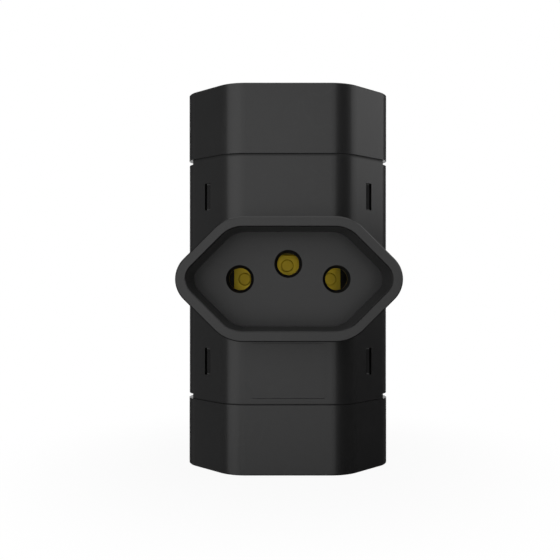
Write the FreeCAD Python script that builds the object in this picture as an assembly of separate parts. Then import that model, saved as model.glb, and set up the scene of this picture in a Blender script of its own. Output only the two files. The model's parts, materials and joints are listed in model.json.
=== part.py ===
import FreeCAD, Part
import math
import os

# T-shaped mains adapter: a hexagonal body with outlets at the front, top and bottom
# and a round-pin plug on its back. Millimetres, +Z up, outlet to the front (-Y).

# Hexagonal section shared by the body, the end caps and the front outlet
section_width = 40.68
section_height = 22.3
vertex_radius = 5.0
corner_radius = 7.2
wall = 1.8

# Standard layout of pins and holes
pin_diameter = 4.0
pin_length = 19.0
pole_spacing = 19.0
earth_offset = 3.0
hole_clearance = 0.2
lead_in = 0.55
lead_in_depth = 0.9

# Outlet recesses, and the plug boss that goes into such a recess
recess_depth = 12.6
rim_wall = 1.75
recess_draft = 0.1
floor_thickness = 2.0
rim_chamfer = 0.2
cup_proud = 0.17
plug_clearance = 0.4
plug_relief = 0.25
plug_wall = 1.8
plug_face_thickness = 3.0
plug_round = 0.8

# Seams between the body and the end caps
seam_to_floor = 1.0
seam_round = 0.2
notch_depth = 1.0
notch_height = 1.0
cap_proud = 0.05
lip_reach = 1.2
lip_thickness = 1.5
neck_wall = 1.5
flange_thickness = 1.4
cap_fit = 0.1

# Snap tongues on the rear shell and their windows in the front shell
window_height = 5.35
window_width = 1.2
window_z = 16.4
tongue_thickness = 1.4
tongue_clearance = 0.5
hook_reach = 2.8
hook_ramp = 25.0
hook_gap = 0.1
hook_end_gap = 0.3
catch_gap = 0.15
slot_width = 0.45
undercut_depth = 1.6

# Lap strip along the parting plane, and partitions between the poles
lap_thickness = 0.8
lap_height = 1.2
lap_fit = 0.1
partition_thickness = 1.2
partition_clearance = 0.4

# Raised bare pad under the front outlet
pad_width = 14.0
pad_top = 12.4
pad_bottom = 22.9
pad_height = 0.25
pad_groove_width = 0.15
pad_groove_depth = 0.3

# Brass strips, clips, pins and rivets
bar_thickness = 0.8
bar_width = 4.8
earth_bar_width = 5.0
bar_set_back = 1.95
bar_margin = 1.1
bar_clearance = 0.4
bar_seat = 0.05
bend_radius = 0.5
clip_thickness = 0.5
clip_width = 3.2
clip_shoulder = 3.0
clip_mouth = 2.8
clip_mouth_gap = 0.3
clip_mouth_length = 2.0
throat_length = 1.2
contact_gap = 0.2
foot_height = 7.2
foot_margin = 0.5
tip_gap = 0.95
end_tip_gap = 0.58
crossing_gap = 0.25
collar_diameter = 6.0
collar_thickness = 1.0
collar_set_back = 1.2
tail_diameter = 2.2
head_diameter = 2.8
head_height = 0.35
head_chamfer = 0.15
pin_tip_round = 1.2
shank_step = 0.3
pin_fit = 0.05
post_wall = 1.5
post_gap = 0.1
rivet_diameter = 2.0
rivet_head_diameter = 3.4
rivet_from_end = 2.5
rivet_fit = 0.02

# Least rounding of an inset section, and how far a cut runs past what it cuts
smallest_radius = 0.2
through = 1.0


def room_at(x, inset):
    # Half height of the section, moved inwards by inset, at this distance from its middle
    top = section_height / 2 - inset
    tip = section_width / 2 + vertex_radius * (math.sqrt(2) - 1) - inset * math.sqrt(2)
    radius = max(corner_radius - inset, smallest_radius)
    past_flat = x - (tip - top - radius * math.tan(math.pi / 8))
    if past_flat <= 0:
        return top
    if past_flat >= radius * math.sin(math.pi / 4):
        return tip - x
    return top - radius + math.sqrt(radius ** 2 - past_flat ** 2)


# Places that follow from the sizes above
pin_radius = pin_diameter / 2
shank_radius = pin_radius + shank_step
hole_radius = pin_radius + hole_clearance
half_width = section_width / 2
half_height = section_height / 2
slope_sum = half_width + vertex_radius * (math.sqrt(2) - 1)
poles = {
    "live": (pole_spacing / 2, 0.0),
    "neutral": (-pole_spacing / 2, 0.0),
    "earth": (0.0, earth_offset),
}
bar_widths = {"live": bar_width, "neutral": bar_width, "earth": earth_bar_width}

bar_back = half_height + bar_set_back
bar_front = bar_back - bar_thickness
head_base = bar_front - clip_thickness
head_top = head_base - head_height
front_floor = head_top - tip_gap - pin_length
front_rim = front_floor - recess_depth
floor_back = front_floor + floor_thickness
collar_front = bar_back + collar_set_back
collar_back = collar_front + collar_thickness
post_front = bar_back + post_gap

plug_inset = rim_wall + recess_draft + plug_clearance
plug_face = half_height + recess_depth - plug_relief
plug_inner_face = plug_face - plug_face_thickness
plug_inner_half_height = half_height - plug_inset - plug_wall
pin_tip = plug_face + pin_length

front_base_depth = pin_length + tip_gap + head_height
end_base_depth = pin_length + end_tip_gap
end_floor = earth_offset + pin_radius + crossing_gap + clip_thickness + end_base_depth
seam = end_floor - seam_to_floor

foot_end = end_floor - end_base_depth - clip_thickness + foot_height
leg_end = foot_end + foot_margin
rivet_height = foot_end - rivet_from_end

# The strips' legs seat where the rounded corner of the body's hollow meets their outer edge
leg_back = room_at(pole_spacing / 2 + bar_width / 2, wall) - bar_seat
leg_front = leg_back - bar_thickness

tongue_x = pole_spacing / 2 + pin_radius + tongue_clearance
hook_x = tongue_x + tongue_thickness + hook_reach
window_outer_x = hook_x + slot_width
window_back = -(slope_sum - window_outer_x)
window_front = window_back - window_width

Vector = FreeCAD.Vector
origin = Vector(0, 0, 0)
x_axis = Vector(1, 0, 0)
y_axis = Vector(0, 1, 0)
z_axis = Vector(0, 0, 1)


def unit(vector):
    return vector * (1 / vector.Length)


def rounded_wire(corners):
    # Closed outline through (x, y, radius) corners, with tangent arcs where it is rounded
    points = [Vector(x, y, 0) for x, y, radius in corners]
    arcs = []
    for index, (x, y, radius) in enumerate(corners):
        point = points[index]
        before = unit(point - points[index - 1])
        after = unit(points[(index + 1) % len(points)] - point)
        half_turn = before.getAngle(after) / 2
        reach = radius * math.tan(half_turn)
        start = point - before * reach
        end = point + after * reach
        sagitta = radius / math.cos(half_turn) - radius
        middle = point + unit(after - before) * sagitta
        arcs.append((start, middle, end, radius))
    edges = []
    for index, (start, middle, end, radius) in enumerate(arcs):
        previous_end = arcs[index - 1][2]
        if previous_end.distanceToPoint(start) > 1e-6:
            edges.append(Part.LineSegment(previous_end, start).toShape())
        if radius > 0:
            edges.append(Part.Arc(start, middle, end).toShape())
    return Part.Wire(edges)


def hexagon(inset):
    # The shared section, moved inwards by inset, with slopes at 45 degrees
    tip_radius = max(vertex_radius - inset, smallest_radius)
    flat_radius = max(corner_radius - inset, smallest_radius)
    top = half_height - inset
    tip = slope_sum - inset * math.sqrt(2)
    flat = tip - top
    return rounded_wire([
        (tip, 0, tip_radius),
        (flat, top, flat_radius),
        (-flat, top, flat_radius),
        (-tip, 0, tip_radius),
        (-flat, -top, flat_radius),
        (flat, -top, flat_radius),
    ])


def upright_prism(inset, low, high):
    face = Part.Face(hexagon(inset))
    face.translate(z_axis * low)
    return face.extrude(z_axis * (high - low))


def level_prism(inset, near, far):
    face = Part.Face(hexagon(inset))
    face.rotate(origin, x_axis, 90)
    face.translate(y_axis * near)
    return face.extrude(y_axis * (far - near))


def block(x_range, y_range, z_range):
    low = Vector(x_range[0], y_range[0], z_range[0])
    size = Vector(x_range[1], y_range[1], z_range[1]) - low
    return Part.makeBox(size.x, size.y, size.z, low)


def flat_end_edges(shape, axis, place):
    # Edges of a shape that lie in the plane at this place along the axis
    found = []
    for edge in shape.Edges:
        box = edge.BoundBox
        low = Vector(box.XMin, box.YMin, box.ZMin).dot(axis)
        high = Vector(box.XMax, box.YMax, box.ZMax).dot(axis)
        if abs(low - place) < 1e-4 and abs(high - place) < 1e-4:
            found.append(edge)
    return found


def folded_strip(path, thickness, width):
    # Sheet strip bent along a path in the plane, its width centred across the plane
    points = [Vector(x, y, 0) for x, y in path]
    left = []
    right = []
    for index, point in enumerate(points):
        before = unit(points[max(index, 1)] - points[max(index, 1) - 1])
        last = len(points) - 1
        after = unit(points[min(index + 1, last)] - points[min(index, last - 1)])
        left_before = Vector(-before.y, before.x, 0)
        left_after = Vector(-after.y, after.x, 0)
        aside = (left_before + left_after) * (thickness / 2 / (1 + left_before.dot(left_after)))
        turn = before.cross(after).z
        left_radius = 0.0
        right_radius = 0.0
        if abs(turn) > 1e-9:
            left_radius = bend_radius + (thickness if turn < 0 else 0.0)
            right_radius = bend_radius + (thickness if turn > 0 else 0.0)
        left.append((point.x + aside.x, point.y + aside.y, left_radius))
        right.append((point.x - aside.x, point.y - aside.y, right_radius))
    face = Part.Face(rounded_wire(left + right[::-1]))
    face.translate(z_axis * (-width / 2))
    return face.extrude(z_axis * width)


def stand_on_side(strip):
    # Turns a strip drawn in X and Y so that its path runs in Y and Z, its width along X
    strip.rotate(origin, y_axis, 90)
    strip.rotate(origin, x_axis, 90)
    return strip


def face_outlet(shape, outlet):
    # Takes a shape made for an outlet facing up, its floor at zero, to one of the outlets
    if outlet == "front":
        shape.rotate(origin, x_axis, 90)
        shape.translate(y_axis * front_floor)
    elif outlet == "top":
        shape.translate(z_axis * end_floor)
    else:
        shape.rotate(origin, x_axis, 180)
        shape.translate(z_axis * -end_floor)
    return shape


def outlet_recess():
    floor = hexagon(rim_wall + recess_draft)
    mouth = hexagon(rim_wall)
    mouth.translate(z_axis * recess_depth)
    return Part.makeLoft([floor, mouth], True, True)


def outlet_holes():
    cuts = []
    for x, y in poles.values():
        below = Vector(x, y, -floor_thickness - through)
        cuts.append(Part.makeCylinder(hole_radius, floor_thickness + 2 * through, below))
        cone_base = Vector(x, y, -lead_in_depth)
        cuts.append(Part.makeCone(hole_radius, hole_radius + lead_in, lead_in_depth, cone_base))
    return cuts[0].multiFuse(cuts[1:])


def rounded_body():
    body = upright_prism(0, -seam, seam)
    ends = flat_end_edges(body, z_axis, seam) + flat_end_edges(body, z_axis, -seam)
    return body.makeFillet(seam_round, ends).cut(pry_notches())


def pry_notches():
    # Small nicks at the side corners of both ends, where the shells are prised apart
    cuts = []
    for side in (-1, 1):
        for end in (-1, 1):
            x_range = sorted((side * (half_width - notch_depth), side * section_width))
            z_range = sorted((end * (seam - notch_height), end * (seam + through)))
            cuts.append(block(x_range, (-vertex_radius, vertex_radius), z_range))
    return cuts[0].multiFuse(cuts[1:])


def body_cavity():
    # Hollow of the body, narrowed at both ends by the lips that hold the caps
    room = upright_prism(wall, -seam + lip_thickness, seam - lip_thickness)
    passage = upright_prism(wall + lip_reach, -seam - through, seam + through)
    return room.fuse(passage)


def front_half():
    return block((-section_width, section_width), (front_rim - through, 0), (-2 * seam, 2 * seam))


def rear_half():
    return block((-section_width, section_width), (0, 2 * pin_tip), (-2 * seam, 2 * seam))


def latch_window(side, end):
    # Opening for a hook nose, with a narrow undercut slot beneath its outer edge
    outline = [
        (tongue_x, window_front, 0),
        (half_width, window_front, 0),
        (half_width, window_back, 0),
        (window_outer_x, window_back, 0),
        (window_outer_x, window_back + undercut_depth, 0),
        (hook_x, window_back + undercut_depth - slot_width, 0),
        (hook_x, window_back, 0),
        (tongue_x, window_back, 0),
    ]
    face = Part.Face(rounded_wire([(side * x, y, radius) for x, y, radius in outline]))
    face.translate(z_axis * (end * window_z - window_height / 2))
    return face.extrude(z_axis * window_height)


def front_shell():
    cup = level_prism(-cup_proud, front_rim, 0)
    pad = block((-pad_width / 2, pad_width / 2), (-half_height - pad_height, -half_height + wall),
                (-pad_bottom, -pad_top))
    outside = rounded_body().fuse(cup).fuse(pad)
    floor_block = level_prism(-cup_proud, front_rim, floor_back)
    cavity = body_cavity().cut(floor_block)
    cavity = cavity.fuse(level_prism(rim_wall + recess_draft, floor_back, through))
    shell = outside.common(front_half()).cut(cavity)
    shell = shell.cut(face_outlet(outlet_recess(), "front"))
    shell = shell.makeChamfer(rim_chamfer, flat_end_edges(shell, y_axis, front_rim))
    shell = shell.cut(face_outlet(outlet_holes(), "front"))
    groove = block((-pad_width / 2, pad_width / 2),
                   (-half_height - pad_height - through, -half_height + pad_groove_depth),
                   (-pad_bottom - pad_groove_width, -pad_bottom))
    shell = shell.cut(groove)
    windows = [latch_window(side, end) for side in (-1, 1) for end in (-1, 1)]
    return shell.cut(windows[0].multiFuse(windows[1:])).removeSplitter()


def pin_post(x, z):
    outer = shank_radius + pin_fit + post_wall
    return Part.makeCylinder(outer, plug_face - plug_round - post_front, Vector(x, post_front, z), y_axis)


def pin_bore(x, z):
    # Way for the shank, with a room round the collar that is moulded in
    bore = Part.makeCylinder(shank_radius + pin_fit, pin_length + plug_face, Vector(x, 0, z), y_axis)
    room = Part.makeCylinder(collar_diameter / 2 + pin_fit, collar_thickness + 2 * pin_fit,
                             Vector(x, collar_front - pin_fit, z), y_axis)
    return bore.fuse(room)


def snap_tongue(side, end):
    # Strip from the rear wall past the parting plane, with a hook nose in the window
    width = window_height - 2 * hook_end_gap
    catch = window_back - catch_gap
    tip = window_front + hook_gap
    ramp_x = hook_x - (catch - tip) / math.tan(math.radians(hook_ramp))
    root = slope_sum - wall / math.sqrt(2) - tongue_x - tongue_thickness / 2
    outline = [
        (tongue_x, root, 0),
        (tongue_x + tongue_thickness, root, 0),
        (tongue_x + tongue_thickness, catch, 0),
        (hook_x, catch, 0),
        (ramp_x, tip, 0),
        (tongue_x, tip, 0),
    ]
    face = Part.Face(rounded_wire([(side * x, y, radius) for x, y, radius in outline]))
    face.translate(z_axis * (end * window_z - width / 2))
    return face.extrude(z_axis * width)


def lap_strip(side):
    # Thin lip inside the parting line that locates the front shell
    reach = seam - lip_thickness - flange_thickness - 2 * cap_fit
    inner = upright_prism(wall + lap_fit + lap_thickness, -reach, reach)
    beyond = sorted((side * (half_width - wall - vertex_radius), side * section_width))
    ahead = upright_prism(wall + lap_fit, -reach, reach).cut(inner)
    ahead = ahead.common(block(beyond, (-lap_height, 0), (-reach, reach)))
    behind = upright_prism(wall / 2, -reach, reach).cut(inner)
    behind = behind.common(block(beyond, (0, lap_height), (-reach, reach)))
    return ahead.fuse(behind)


def partition(side, end):
    # Wall between the earth pole and its neighbour, above or below the plug boss
    middle = side * pole_spacing / 4
    inner_end = plug_inner_half_height + partition_clearance
    outer_end = seam - lip_thickness - flange_thickness - 2 * cap_fit - partition_clearance
    x_range = (middle - partition_thickness / 2, middle + partition_thickness / 2)
    z_range = sorted((end * inner_end, end * outer_end))
    return block(x_range, (0, half_height - wall / 2), z_range)


def bar_channel(pole):
    # Room for a strip inside the plug boss
    x, z = poles[pole]
    aside = bar_widths[pole] / 2 + bar_clearance
    height = crossover(pole) + bar_thickness + bar_clearance
    return block((x - aside, x + aside), (0, bar_back + bar_clearance), (-height, height))


def rear_shell():
    boss = level_prism(plug_inset, 0, plug_face)
    boss = boss.makeFillet(plug_round, flat_end_edges(boss, y_axis, plug_face))
    outside = rounded_body().fuse(boss).common(rear_half())
    hollow = level_prism(plug_inset + plug_wall, -through, plug_inner_face)
    channels = [bar_channel(pole) for pole in poles]
    shell = outside.cut(body_cavity().multiFuse([hollow] + channels))
    inside = []
    for side in (-1, 1):
        inside.append(lap_strip(side))
        for end in (-1, 1):
            inside.append(snap_tongue(side, end))
            inside.append(partition(side, end))
    inside += [pin_post(x, z) for x, z in poles.values()]
    shell = shell.multiFuse(inside)
    bores = [pin_bore(x, z) for x, z in poles.values()]
    return shell.cut(bores[0].multiFuse(bores[1:])).removeSplitter()


def outlet_cap(outlet):
    # Cup with a neck and flange that the two shells trap behind their lips
    neck_low = -seam_to_floor - lip_thickness - cap_fit - flange_thickness
    flange_top = neck_low + flange_thickness
    neck_inset = wall + lip_reach + cap_fit
    cup = upright_prism(-cap_proud, -seam_to_floor, recess_depth)
    cup = cup.cut(outlet_recess())
    cup = cup.makeChamfer(rim_chamfer, flat_end_edges(cup, z_axis, recess_depth))
    neck = upright_prism(neck_inset, neck_low, -seam_to_floor)
    flange = upright_prism(wall + cap_fit, neck_low, flange_top)
    cap = cup.multiFuse([neck, flange])
    cap = cap.cut(upright_prism(neck_inset + neck_wall, neck_low - through, -floor_thickness))
    return face_outlet(cap.cut(outlet_holes()).removeSplitter(), outlet)


def plug_pin(pole):
    # Turned pin: peened head, tail through clip and strip, shank with a collar, rounded tip
    x, z = poles[pole]
    profile = Part.Face(rounded_wire([
        (0, head_top, 0),
        (head_diameter / 2 - head_chamfer, head_top, 0),
        (head_diameter / 2, head_top + head_chamfer, 0),
        (head_diameter / 2, head_base, 0),
        (tail_diameter / 2, head_base, 0),
        (tail_diameter / 2, bar_back, 0),
        (shank_radius, bar_back, 0),
        (shank_radius, collar_front, 0),
        (collar_diameter / 2, collar_front, 0),
        (collar_diameter / 2, collar_back, 0),
        (shank_radius, collar_back, 0),
        (shank_radius, plug_face, 0),
        (pin_radius, plug_face + shank_step, 0),
        (pin_radius, pin_tip, pin_tip_round),
        (0, pin_tip, 0),
    ]))
    pin = profile.revolve(origin, y_axis, 360)
    pin.translate(Vector(x, 0, z))
    return pin


def crossover(pole):
    # Height where a strip bends forward out of the plug boss, clear of its front clip
    x, z = poles[pole]
    half_clip = clip_width / 2 if pole == "earth" else clip_shoulder + clip_thickness
    return z + half_clip + bar_margin


def contact_bar(pole):
    # Strip with its middle set back into the plug boss and both legs on the rear wall
    x, z = poles[pole]
    leg = (leg_front + leg_back) / 2
    plate = (bar_front + bar_back) / 2
    run = crossover(pole) + bar_thickness / 2
    path = [(leg, leg_end), (leg, run), (plate, run), (plate, -run), (leg, -run), (leg, -leg_end)]
    strip = stand_on_side(folded_strip(path, bar_thickness, bar_widths[pole]))
    strip.translate(x_axis * x)
    strip = strip.cut(Part.makeCylinder(tail_diameter / 2, 2 * pin_tip, Vector(x, 0, z), y_axis))
    for end in (-1, 1):
        strip = strip.cut(rivet_hole(x, end))
    return strip


def rivet_hole(x, end):
    start = Vector(x, 0, end * rivet_height)
    return Part.makeCylinder(rivet_diameter / 2 + rivet_fit, half_height, start, y_axis)


def gripping_leaves(base_depth):
    # Two leaves folded up from a base, narrowing to a throat and flaring at the mouth
    throat = pin_radius + contact_gap
    middle = clip_thickness / 2
    mouth_level = -floor_thickness - clip_mouth_gap
    throat_top = mouth_level - clip_mouth_length
    throat_low = throat_top - throat_length
    base = -base_depth - middle
    leaf = [
        (clip_mouth + middle, mouth_level),
        (throat + middle, throat_top),
        (throat + middle, throat_low),
        (clip_shoulder + middle, base),
    ]
    other_leaf = [(-y, level) for y, level in leaf[::-1]]
    return stand_on_side(folded_strip(leaf + other_leaf, clip_thickness, clip_width))


def clip_foot(side, reach):
    # Tab from the clip's base back to the strip and up along it, with its rivet hole
    base = -end_base_depth - clip_thickness / 2
    wall_side = side * (leg_front - clip_thickness / 2)
    path = [(reach, base), (wall_side, base), (wall_side, foot_end - end_floor)]
    return stand_on_side(folded_strip(path, clip_thickness, clip_width))


def contact_clip(outlet, pole):
    x, y = poles[pole]
    depth = front_base_depth if outlet == "front" else end_base_depth
    clip = gripping_leaves(depth)
    if pole == "earth":
        clip.rotate(origin, z_axis, 90)
    clip.translate(y_axis * y)
    if outlet != "front":
        clip = clip.fuse(clip_foot(1 if outlet == "top" else -1, y))
    clip.translate(x_axis * x)
    clip = face_outlet(clip, outlet)
    if outlet == "front":
        return clip.cut(Part.makeCylinder(tail_diameter / 2, 2 * pin_tip, Vector(x, 0, y), y_axis))
    return clip.cut(rivet_hole(x, 1 if outlet == "top" else -1)).removeSplitter()


def clip_rivets():
    # Small rivets, domed over the clips' feet and flush behind the strips
    foot_front = leg_front - clip_thickness
    profile = Part.Face(rounded_wire([
        (0, foot_front - head_height, 0),
        (rivet_head_diameter / 2 - head_chamfer, foot_front - head_height, 0),
        (rivet_head_diameter / 2, foot_front - head_height + head_chamfer, 0),
        (rivet_head_diameter / 2, foot_front, 0),
        (rivet_diameter / 2, foot_front, 0),
        (rivet_diameter / 2, leg_back, 0),
        (0, leg_back, 0),
    ]))
    rivets = []
    for x, z in poles.values():
        for end in (-1, 1):
            rivet = profile.revolve(origin, y_axis, 360)
            rivet.translate(Vector(x, 0, end * rivet_height))
            rivets.append(rivet)
    return Part.makeCompound(rivets)


def main():
    os.makedirs("parts", exist_ok=True)
    nodes = {
        "front_shell": front_shell(),
        "rear_shell": rear_shell(),
        "top_outlet_cap": outlet_cap("top"),
        "bottom_outlet_cap": outlet_cap("bottom"),
        "clip_rivets": clip_rivets(),
    }
    for pole in poles:
        nodes[pole + "_pin"] = plug_pin(pole)
        nodes[pole + "_bar"] = contact_bar(pole)
        for outlet in ("front", "top", "bottom"):
            nodes[outlet + "_" + pole + "_clip"] = contact_clip(outlet, pole)
    # The origin is the middle of the plug's face, where its pins come out
    for name, shape in nodes.items():
        shape.translate(y_axis * -plug_face)
        shape.exportStep("parts/" + name + ".step")
        print(name, len(shape.Solids), round(shape.Volume, 2), shape.isValid())


main()
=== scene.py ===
import json
import math

import bpy
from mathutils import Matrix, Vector


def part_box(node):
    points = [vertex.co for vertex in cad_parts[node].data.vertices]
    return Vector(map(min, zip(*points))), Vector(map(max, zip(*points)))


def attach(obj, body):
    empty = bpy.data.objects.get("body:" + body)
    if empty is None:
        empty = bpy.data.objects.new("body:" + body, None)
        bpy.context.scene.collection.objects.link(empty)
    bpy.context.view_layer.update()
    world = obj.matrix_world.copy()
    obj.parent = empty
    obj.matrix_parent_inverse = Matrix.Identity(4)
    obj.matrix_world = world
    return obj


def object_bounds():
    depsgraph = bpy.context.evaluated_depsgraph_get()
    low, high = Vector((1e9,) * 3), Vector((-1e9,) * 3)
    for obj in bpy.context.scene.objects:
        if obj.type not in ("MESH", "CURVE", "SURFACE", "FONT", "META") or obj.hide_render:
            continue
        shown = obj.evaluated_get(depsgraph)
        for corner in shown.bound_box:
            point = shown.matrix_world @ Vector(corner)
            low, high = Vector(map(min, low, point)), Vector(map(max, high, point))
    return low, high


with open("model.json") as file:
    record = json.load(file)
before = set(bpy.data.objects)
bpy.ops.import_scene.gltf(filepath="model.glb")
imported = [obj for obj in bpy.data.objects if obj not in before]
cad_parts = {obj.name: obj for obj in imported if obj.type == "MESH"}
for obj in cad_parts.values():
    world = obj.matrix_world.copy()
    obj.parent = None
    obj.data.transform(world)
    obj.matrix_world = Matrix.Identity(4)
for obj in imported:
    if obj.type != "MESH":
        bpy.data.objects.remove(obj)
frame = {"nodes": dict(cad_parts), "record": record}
cadLow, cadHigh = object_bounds()
nodes = frame["nodes"]
print("frame loaded,", len(nodes), "nodes")

bodyMiddle = (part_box("top_outlet_cap")[0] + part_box("bottom_outlet_cap")[1]) / 2
standLevel = cadLow.z


# helpers for node trees

# the Mix node's sockets by number, for colours and for plain values
mixFactor = 0
colourFrom, colourTo, colourMixed = 6, 7, 2
valueFrom, valueTo, valueMixed = 2, 3, 0
white = (1.0, 1.0, 1.0, 1.0)


def putNode(tree, kind, values=None, **settings):
    node = tree.nodes.new(kind)
    for name, value in settings.items():
        setattr(node, name, value)
    for socket, value in (values or {}).items():
        node.inputs[socket].default_value = value
    return node


def link(tree, source, socket, target, entry):
    tree.links.new(source.outputs[socket], target.inputs[entry])


def putMath(tree, operation, values=None, **settings):
    return putNode(tree, "ShaderNodeMath", values, operation=operation, **settings)


def putRange(tree, taken, given=(0.0, 1.0), **settings):
    values = {"From Min": taken[0], "From Max": taken[1], "To Min": given[0], "To Max": given[1]}
    return putNode(tree, "ShaderNodeMapRange", values, **settings)


def putColourMix(tree, values):
    return putNode(tree, "ShaderNodeMix", values, data_type="RGBA")


def putValueMix(tree, values):
    return putNode(tree, "ShaderNodeMix", values, data_type="FLOAT")


def startGroup(name, inputs, outputs):
    group = bpy.data.node_groups.new(name, "ShaderNodeTree")
    for socket, kind in inputs.items():
        group.interface.new_socket(name=socket, in_out="INPUT", socket_type=kind)
    for socket in outputs:
        group.interface.new_socket(name=socket, in_out="OUTPUT", socket_type="NodeSocketFloat")
    return group, putNode(group, "NodeGroupInput"), putNode(group, "NodeGroupOutput")


def startMaterial(name):
    material = bpy.data.materials.new(name)
    material.use_nodes = True
    tree = material.node_tree
    shader = tree.nodes["Principled BSDF"]
    place = putNode(tree, "ShaderNodeTexCoord")
    return material, tree, shader, place


def paint(piece, material):
    piece.data.materials.clear()
    piece.data.materials.append(material)


# grain that all materials share: fine specks and a slow drift of the tone

grainLook = {
    "detail": 3.0,
    "harshness": 0.6,
    "driftDetail": 2.0,
    "speckRange": (0.35, 0.65),
    "driftRange": (0.3, 0.7),
}


def buildSurfaceGrain(look):
    group, inside, outside = startGroup(
        "surfaceGrain",
        {"Vector": "NodeSocketVector", "Grain Scale": "NodeSocketFloat",
         "Drift Scale": "NodeSocketFloat"},
        ["Height", "Speck", "Drift"])
    fine = putNode(group, "ShaderNodeTexNoise",
                   {"Detail": look["detail"], "Roughness": look["harshness"]})
    broad = putNode(group, "ShaderNodeTexNoise", {"Detail": look["driftDetail"]})
    speck = putRange(group, look["speckRange"])
    drift = putRange(group, look["driftRange"])
    link(group, inside, "Vector", fine, "Vector")
    link(group, inside, "Grain Scale", fine, "Scale")
    link(group, inside, "Vector", broad, "Vector")
    link(group, inside, "Drift Scale", broad, "Scale")
    link(group, fine, "Fac", speck, "Value")
    link(group, broad, "Fac", drift, "Value")
    link(group, fine, "Fac", outside, "Height")
    link(group, speck, "Result", outside, "Speck")
    link(group, drift, "Result", outside, "Drift")
    return group


# scuffs that all materials share: thin crossing streaks, broken up into patches

scuffLook = {
    "detail": 1.0,
    "distortion": 0.8,
    "patchScale": 90.0,
    "patchDetail": 2.0,
    "patchRange": (0.5, 0.65),
}


def buildHandlingScuffs(look):
    group, inside, outside = startGroup(
        "handlingScuffs",
        {"Vector": "NodeSocketVector", "Streak Scale": "NodeSocketFloat",
         "Thinness": "NodeSocketFloat"},
        ["Streaks"])
    streak = putNode(group, "ShaderNodeTexNoise",
                     {"Detail": look["detail"], "Distortion": look["distortion"]})
    patch = putNode(group, "ShaderNodeTexNoise",
                    {"Scale": look["patchScale"], "Detail": look["patchDetail"]})
    middle = putMath(group, "SUBTRACT", {1: 0.5})  # streaks run along the noise's middle level
    away = putMath(group, "ABSOLUTE")
    steep = putMath(group, "MULTIPLY")
    line = putMath(group, "SUBTRACT", {0: 1.0}, use_clamp=True)
    broken = putRange(group, look["patchRange"])
    both = putMath(group, "MULTIPLY")
    link(group, inside, "Vector", streak, "Vector")
    link(group, inside, "Streak Scale", streak, "Scale")
    link(group, inside, "Vector", patch, "Vector")
    link(group, streak, "Fac", middle, 0)
    link(group, middle, "Value", away, 0)
    link(group, away, "Value", steep, 0)
    link(group, inside, "Thinness", steep, 1)
    link(group, steep, "Value", line, 1)
    link(group, patch, "Fac", broken, "Value")
    link(group, line, "Value", both, 0)
    link(group, broken, "Result", both, 1)
    link(group, both, "Value", outside, "Streaks")
    return group


surfaceGrain = buildSurfaceGrain(grainLook)
handlingScuffs = buildHandlingScuffs(scuffLook)
print("shared effects ready")


def putGrain(tree, look):
    return putNode(tree, "ShaderNodeGroup",
                   {"Grain Scale": look["grainScale"], "Drift Scale": look["driftScale"]},
                   node_tree=surfaceGrain)


def putScuffs(tree, look):
    return putNode(tree, "ShaderNodeGroup",
                   {"Streak Scale": look["streakScale"], "Thinness": look["streakThinness"]},
                   node_tree=handlingScuffs)


def putTone(tree, look):
    return putColourMix(tree, {colourFrom: look["darkTone"], colourTo: look["lightTone"]})


def putBump(tree, look):
    return putNode(tree, "ShaderNodeBump",
                   {"Strength": look["bumpStrength"], "Distance": look["bumpDepth"]})


# satin black plastic of the shells, caps and rib, with a thin glossy skin

blackPlastic = {
    "darkTone": (0.0125, 0.0125, 0.0128, 1.0),
    "lightTone": (0.0155, 0.0155, 0.0158, 1.0),
    "scuffTone": (0.0240, 0.0240, 0.0244, 1.0),
    "scuffAmount": 0.25,
    "roughness": (0.40, 0.46),
    "specular": 0.5,
    "grainScale": 5200.0,
    "driftScale": 55.0,
    "streakScale": 140.0,
    "streakThinness": 30.0,
    "bumpDepth": 0.00002,
    "bumpStrength": 0.18,
    "skinGloss": 0.40,
    "skinRoughness": 0.22,
}


def makeBlackPlastic(name, look):
    material, tree, shader, place = startMaterial(name)
    grain = putGrain(tree, look)
    scuffs = putScuffs(tree, look)
    tone = putTone(tree, look)
    rub = putMath(tree, "MULTIPLY", {1: look["scuffAmount"]})
    scuffed = putColourMix(tree, {colourTo: look["scuffTone"]})
    gloss = putRange(tree, (0.0, 1.0), look["roughness"])
    bump = putBump(tree, look)
    link(tree, place, "Object", grain, "Vector")
    link(tree, place, "Object", scuffs, "Vector")
    link(tree, grain, "Drift", tone, mixFactor)
    link(tree, scuffs, "Streaks", rub, 0)
    link(tree, rub, "Value", scuffed, mixFactor)
    link(tree, tone, colourMixed, scuffed, colourFrom)
    link(tree, scuffed, colourMixed, shader, "Base Color")
    link(tree, grain, "Speck", gloss, "Value")
    link(tree, gloss, "Result", shader, "Roughness")
    link(tree, grain, "Height", bump, "Height")
    link(tree, bump, "Normal", shader, "Normal")
    shader.inputs["Specular IOR Level"].default_value = look["specular"]
    shader.inputs["Coat Weight"].default_value = look["skinGloss"]
    shader.inputs["Coat Roughness"].default_value = look["skinRoughness"]
    return material


# shells: painted shade along the edge of each seam and on the snap hooks inside, a darker tone
# that is rougher and has no glossy skin

shellPaintedShade = {
    "tone": (0.0110, 0.0110, 0.0112, 1.0),
    "roughness": 0.80,
    "seamFade": (0.02380, 0.02432),
    "seamShift": 0.00012,
    "hookReach": (-0.0240, -0.0236),
}


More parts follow.
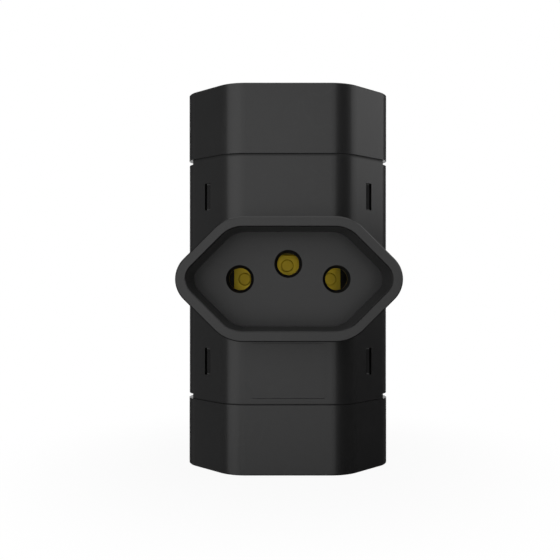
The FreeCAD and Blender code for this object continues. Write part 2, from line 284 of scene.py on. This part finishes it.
def makeShellPlastic(name, look, paintedShade, hooked):
    material = makeBlackPlastic(name, look)
    tree = material.node_tree
    shader = tree.nodes["Principled BSDF"]
    freshColour = shader.inputs["Base Color"].links[0].from_socket
    freshRoughness = shader.inputs["Roughness"].links[0].from_socket
    place = putNode(tree, "ShaderNodeTexCoord")
    along = putNode(tree, "ShaderNodeSeparateXYZ")
    shifted = putMath(tree, "ADD", {1: paintedShade["seamShift"]})
    height = putMath(tree, "ABSOLUTE")
    # painted shade: the shell gets darker, rougher and loses its coat towards each seam where it
    # meets a cap
    seam = putRange(tree, paintedShade["seamFade"])
    toned = putColourMix(tree, {colourTo: paintedShade["tone"]})
    dulled = putValueMix(tree, {valueTo: paintedShade["roughness"]})
    skinned = putValueMix(tree, {valueFrom: look["skinGloss"], valueTo: 0.0})
    link(tree, place, "Object", along, "Vector")
    link(tree, along, "Z", shifted, 0)
    link(tree, shifted, "Value", height, 0)
    link(tree, height, "Value", seam, "Value")
    wornAndShaded = seam.outputs["Result"]
    if hooked:
        # painted shade on the snap hooks: every part of the rear shell reaching forward past
        # hookReach is made dark, rough and uncoated
        hooks = putRange(tree, paintedShade["hookReach"], (1.0, 0.0))
        either = putMath(tree, "MAXIMUM")
        link(tree, along, "Y", hooks, "Value")
        link(tree, seam, "Result", either, 0)
        link(tree, hooks, "Result", either, 1)
        wornAndShaded = either.outputs["Value"]
    for mixed in (toned, dulled, skinned):
        tree.links.new(wornAndShaded, mixed.inputs[mixFactor])
    tree.links.new(freshColour, toned.inputs[colourFrom])
    tree.links.new(freshRoughness, dulled.inputs[valueFrom])
    link(tree, toned, colourMixed, shader, "Base Color")
    link(tree, dulled, valueMixed, shader, "Roughness")
    link(tree, skinned, valueMixed, shader, "Coat Weight")
    return material


# dull rolled strip of the bars, clips and rivets

stripBrass = {
    "darkTone": (0.79, 0.60, 0.054, 1.0),
    "lightTone": (0.93, 0.73, 0.089, 1.0),
    "roughness": (0.34, 0.40),
    "grainScale": 2600.0,
    "driftScale": 130.0,
    "rollStretch": (1.0, 1.0, 0.06),
    "streakScale": 400.0,
    "streakThinness": 24.0,
    "streakDulling": 0.08,
    "bumpDepth": 0.00001,
    "bumpStrength": 0.25,
}


def makeStripBrass(look):
    # the rolling marks run along the strips, so the grain is drawn out along Z
    material, tree, shader, place = startMaterial("stripBrass")
    rolled = putNode(tree, "ShaderNodeMapping", {"Scale": look["rollStretch"]})
    grain = putGrain(tree, look)
    scuffs = putScuffs(tree, look)
    tone = putTone(tree, look)
    gloss = putRange(tree, (0.0, 1.0), look["roughness"])
    rub = putMath(tree, "MULTIPLY", {1: look["streakDulling"]})
    wornAndShaded = putMath(tree, "ADD")
    bump = putBump(tree, look)
    link(tree, place, "Object", rolled, "Vector")
    link(tree, rolled, "Vector", grain, "Vector")
    link(tree, place, "Object", scuffs, "Vector")
    link(tree, grain, "Drift", tone, mixFactor)
    link(tree, tone, colourMixed, shader, "Base Color")
    link(tree, grain, "Speck", gloss, "Value")
    link(tree, scuffs, "Streaks", rub, 0)
    link(tree, gloss, "Result", wornAndShaded, 0)
    link(tree, rub, "Value", wornAndShaded, 1)
    link(tree, wornAndShaded, "Value", shader, "Roughness")
    link(tree, grain, "Height", bump, "Height")
    link(tree, bump, "Normal", shader, "Normal")
    shader.inputs["Metallic"].default_value = 1.0
    return material


# bright turned brass of the plug's pins, dull at the peened tails

pinBrass = {
    "darkTone": (0.62, 0.46, 0.17, 1.0),
    "lightTone": (0.72, 0.56, 0.25, 1.0),
    "roughness": (0.16, 0.24),
    "grainScale": 900.0,
    "driftScale": 150.0,
    "streakScale": 260.0,
    "streakThinness": 26.0,
    "streakDulling": 0.1,
    "ringScale": 700.0,
    "ringWobble": 0.6,
    "ringDetail": 2.0,
    "bumpDepth": 0.000006,
    "bumpStrength": 0.3,
    "peenedTone": (0.84, 0.64, 0.067, 1.0),
    "peenedRoughness": 0.395,
    "peenedFrom": (-0.0112, -0.0102),
}


def makePinBrass(look):
    # fine rings from the lathe run round the pins, across Y
    material, tree, shader, place = startMaterial("pinBrass")
    grain = putGrain(tree, look)
    scuffs = putScuffs(tree, look)
    rings = putNode(tree, "ShaderNodeTexWave",
                    {"Scale": look["ringScale"], "Distortion": look["ringWobble"],
                     "Detail": look["ringDetail"]},
                    wave_type="BANDS", bands_direction="Y")
    tone = putTone(tree, look)
    gloss = putRange(tree, (0.0, 1.0), look["roughness"])
    rub = putMath(tree, "MULTIPLY", {1: look["streakDulling"]})
    wornAndShaded = putMath(tree, "ADD")
    along = putNode(tree, "ShaderNodeSeparateXYZ")
    peened = putRange(tree, look["peenedFrom"], (1.0, 0.0))
    toned = putColourMix(tree, {colourTo: look["peenedTone"]})
    dulled = putValueMix(tree, {valueTo: look["peenedRoughness"]})
    bump = putBump(tree, look)
    for pattern in (grain, scuffs, rings, along):
        link(tree, place, "Object", pattern, "Vector")
    link(tree, along, "Y", peened, "Value")
    link(tree, grain, "Drift", tone, mixFactor)
    link(tree, peened, "Result", toned, mixFactor)
    link(tree, tone, colourMixed, toned, colourFrom)
    link(tree, toned, colourMixed, shader, "Base Color")
    link(tree, grain, "Speck", gloss, "Value")
    link(tree, scuffs, "Streaks", rub, 0)
    link(tree, gloss, "Result", wornAndShaded, 0)
    link(tree, rub, "Value", wornAndShaded, 1)
    link(tree, peened, "Result", dulled, mixFactor)
    link(tree, wornAndShaded, "Value", dulled, valueFrom)
    link(tree, dulled, valueMixed, shader, "Roughness")
    link(tree, rings, "Fac", bump, "Height")
    link(tree, bump, "Normal", shader, "Normal")
    shader.inputs["Metallic"].default_value = 1.0
    return material


finishes = {
    "black_plastic": makeBlackPlastic("blackPlastic", blackPlastic),
    "strip_brass": makeStripBrass(stripBrass),
    "pin_brass": makePinBrass(pinBrass),
}
print("materials ready:", ", ".join(finishes))

for part in frame["record"]["subparts"]:
    paint(nodes[part["node"]], finishes[part["material_slot"]])
# the shells get their own plastic with painted shade at the seams and on the snap hooks
paint(nodes["front_shell"], makeShellPlastic("frontPlastic", blackPlastic, shellPaintedShade, False))
paint(nodes["rear_shell"], makeShellPlastic("rearPlastic", blackPlastic, shellPaintedShade, True))
print("nodes painted")


# rib moulded behind the front outlet's floor, the dark edge above the strip in the earth hole

earthRib = {
    "width": 0.0052,
    "along": (-0.02960, -0.02230),
    "height": (0.00510, 0.00650),
    "root": 0.00045,
    "rootSpread": 1.2,
    "edge": 0.00012,
    "edgeSegments": 2,
    "smoothAngle": 40.0,
}


def makeEarthRib(look):
    low = Vector((-look["width"] / 2, look["along"][0], look["height"][0]))
    high = Vector((look["width"] / 2, look["along"][1], look["height"][1]))
    bpy.ops.object.select_all(action="DESELECT")
    bpy.ops.mesh.primitive_cube_add(size=1.0, location=(low + high) / 2, scale=high - low)
    rib = bpy.context.object
    rib.name = "earthRib"
    bpy.ops.object.transform_apply(location=True, rotation=True, scale=True)
    bpy.ops.object.mode_set(mode="EDIT")
    bpy.ops.mesh.select_mode(type="FACE")
    bpy.ops.mesh.select_all(action="DESELECT")
    bpy.ops.object.mode_set(mode="OBJECT")
    for face in rib.data.polygons:
        face.select = face.normal.y < -0.9  # the end at the outlet's floor
    bpy.ops.object.mode_set(mode="EDIT")
    bpy.ops.mesh.extrude_region_move(TRANSFORM_OT_translate={"value": (0.0, -look["root"], 0.0)})
    bpy.ops.transform.resize(value=(look["rootSpread"], 1.0, 1.0))
    bpy.ops.object.mode_set(mode="OBJECT")
    rounding = rib.modifiers.new("edges", "BEVEL")
    rounding.width = look["edge"]
    rounding.segments = look["edgeSegments"]
    bpy.ops.object.modifier_apply(modifier="edges")
    bpy.ops.object.shade_smooth_by_angle(angle=math.radians(look["smoothAngle"]))
    paint(rib, finishes["black_plastic"])
    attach(rib, "root")


makeEarthRib(earthRib)
print("earth rib made")


# floor and background

floorLook = {
    "size": 0.24,
    "paper": (0.80, 0.80, 0.80, 1.0),
    "shadowReach": (0.02, 0.07),
    "shadowWeight": 0.06,
}


def makeFloorPaper(look):
    # white to the camera, with a faint shadow near the object, and plain paper to other rays
    material = bpy.data.materials.new("floorPaper")
    material.use_nodes = True
    tree = material.node_tree
    tree.nodes.clear()
    place = putNode(tree, "ShaderNodeTexCoord")
    length = putNode(tree, "ShaderNodeVectorMath", operation="LENGTH")
    fade = putRange(tree, look["shadowReach"], (1.0 - look["shadowWeight"], 1.0),
                    interpolation_type="SMOOTHSTEP")
    path = putNode(tree, "ShaderNodeLightPath")
    seen = putMath(tree, "MAXIMUM")
    share = putMath(tree, "MULTIPLY")
    paper = putNode(tree, "ShaderNodeBsdfDiffuse", {"Color": look["paper"]})
    glow = putNode(tree, "ShaderNodeEmission", {"Color": white, "Strength": 1.0})
    mixed = putNode(tree, "ShaderNodeMixShader")
    output = putNode(tree, "ShaderNodeOutputMaterial")
    link(tree, place, "Object", length, 0)
    link(tree, length, "Value", fade, "Value")
    link(tree, path, "Is Camera Ray", seen, 0)
    link(tree, path, "Is Transmission Ray", seen, 1)
    link(tree, seen, "Value", share, 0)
    link(tree, fade, "Result", share, 1)
    link(tree, share, "Value", mixed, 0)
    link(tree, paper, "BSDF", mixed, 1)
    link(tree, glow, "Emission", mixed, 2)
    link(tree, mixed, "Shader", output, "Surface")
    return material


def layFloor(look):
    bpy.ops.object.select_all(action="DESELECT")
    bpy.ops.mesh.primitive_plane_add(size=look["size"],
                                     location=(bodyMiddle.x, bodyMiddle.y, standLevel))
    floor = bpy.context.object
    floor.name = "floor"
    paint(floor, makeFloorPaper(look))
    floor.visible_glossy = False


worldLook = {
    "ambient": 0.005,
    "backGloss": 0.06,
    "backFade": (0.0, 0.6),
}


def setWorld(look):
    # white to the camera; reflections see it only behind the object, so that black stays black
    world = bpy.data.worlds.new("studio")
    bpy.context.scene.world = world
    world.use_nodes = True
    tree = world.node_tree
    tree.nodes.clear()
    path = putNode(tree, "ShaderNodeLightPath")
    place = putNode(tree, "ShaderNodeTexCoord")
    split = putNode(tree, "ShaderNodeSeparateXYZ")
    behind = putRange(tree, look["backFade"], (0.0, look["backGloss"]))
    mirrored = putMath(tree, "MULTIPLY")
    clear = putMath(tree, "MAXIMUM")
    share = putMath(tree, "MAXIMUM", use_clamp=True)
    dim = putNode(tree, "ShaderNodeBackground", {"Color": white, "Strength": look["ambient"]})
    bright = putNode(tree, "ShaderNodeBackground", {"Color": white, "Strength": 1.0})
    mixed = putNode(tree, "ShaderNodeMixShader")
    output = putNode(tree, "ShaderNodeOutputWorld")
    link(tree, place, "Generated", split, "Vector")
    link(tree, split, "Y", behind, "Value")
    link(tree, behind, "Result", mirrored, 0)
    link(tree, path, "Is Glossy Ray", mirrored, 1)
    link(tree, path, "Is Camera Ray", clear, 0)
    link(tree, path, "Is Transmission Ray", clear, 1)
    link(tree, clear, "Value", share, 0)
    link(tree, mirrored, "Value", share, 1)
    link(tree, share, "Value", mixed, 0)
    link(tree, dim, "Background", mixed, 1)
    link(tree, bright, "Background", mixed, 2)
    link(tree, mixed, "Shader", output, "Surface")


layFloor(floorLook)
setWorld(worldLook)
print("floor and background ready")


# softboxes: azimuth from the camera's side towards the right, elevation, distance, width, height
# and brightness, all seen from the middle of the body

softboxes = {
    "keyLeft": (-42.0, 8.0, 0.50, 0.364, 0.577, 1.14),
    "keyFront": (-2.0, 8.0, 0.50, 0.364, 0.577, 0.94),
    "frontTop": (-8.0, 60.0, 0.50, 0.500, 0.280, 0.30),
    "rightHigh": (92.0, 30.0, 0.50, 0.404, 0.466, 1.00),
    "leftSide": (-95.0, -2.0, 0.50, 0.400, 0.500, 0.16),
    "overhead": (0.0, 88.0, 0.50, 0.500, 0.500, 0.80),
    "back": (180.0, 8.0, 0.60, 0.600, 0.620, 1.00),
}


def hangSoftboxes(boxes):
    for name, (azimuth, elevation, distance, width, height, brightness) in boxes.items():
        turn = math.radians(azimuth)
        rise = math.radians(elevation)
        aim = Vector((math.sin(turn) * math.cos(rise),
                      -math.cos(turn) * math.cos(rise),
                      math.sin(rise)))
        bpy.ops.object.light_add(type="AREA", location=bodyMiddle + aim * distance)
        lamp = bpy.context.object
        lamp.name = name
        lamp.rotation_euler = aim.to_track_quat("Z", "Y").to_euler()
        lamp.data.shape = "RECTANGLE"
        lamp.data.size = width
        lamp.data.size_y = height
        lamp.data.energy = brightness * math.pi * width * height


hangSoftboxes(softboxes)
print("softboxes hung:", len(softboxes))


# camera, level with the middle of the body and square to the front outlet

cameraLook = {
    "place": (-0.00163, -0.1793, -0.00017),
    "tilt": 90.0,
    "focalPixels": 750.0,
    "framePixels": 560.0,
    "sensor": 36.0,
    "nearest": 0.01,
}


def setCamera(look):
    bpy.ops.object.camera_add(location=look["place"],
                              rotation=(math.radians(look["tilt"]), 0.0, 0.0))
    camera = bpy.context.object
    camera.name = "photoCamera"
    camera.data.sensor_width = look["sensor"]
    camera.data.lens = look["sensor"] * look["focalPixels"] / look["framePixels"]
    camera.data.clip_start = look["nearest"]
    bpy.context.scene.camera = camera


setCamera(cameraLook)
bpy.context.scene.view_settings.view_transform = "Standard"
print("camera set")
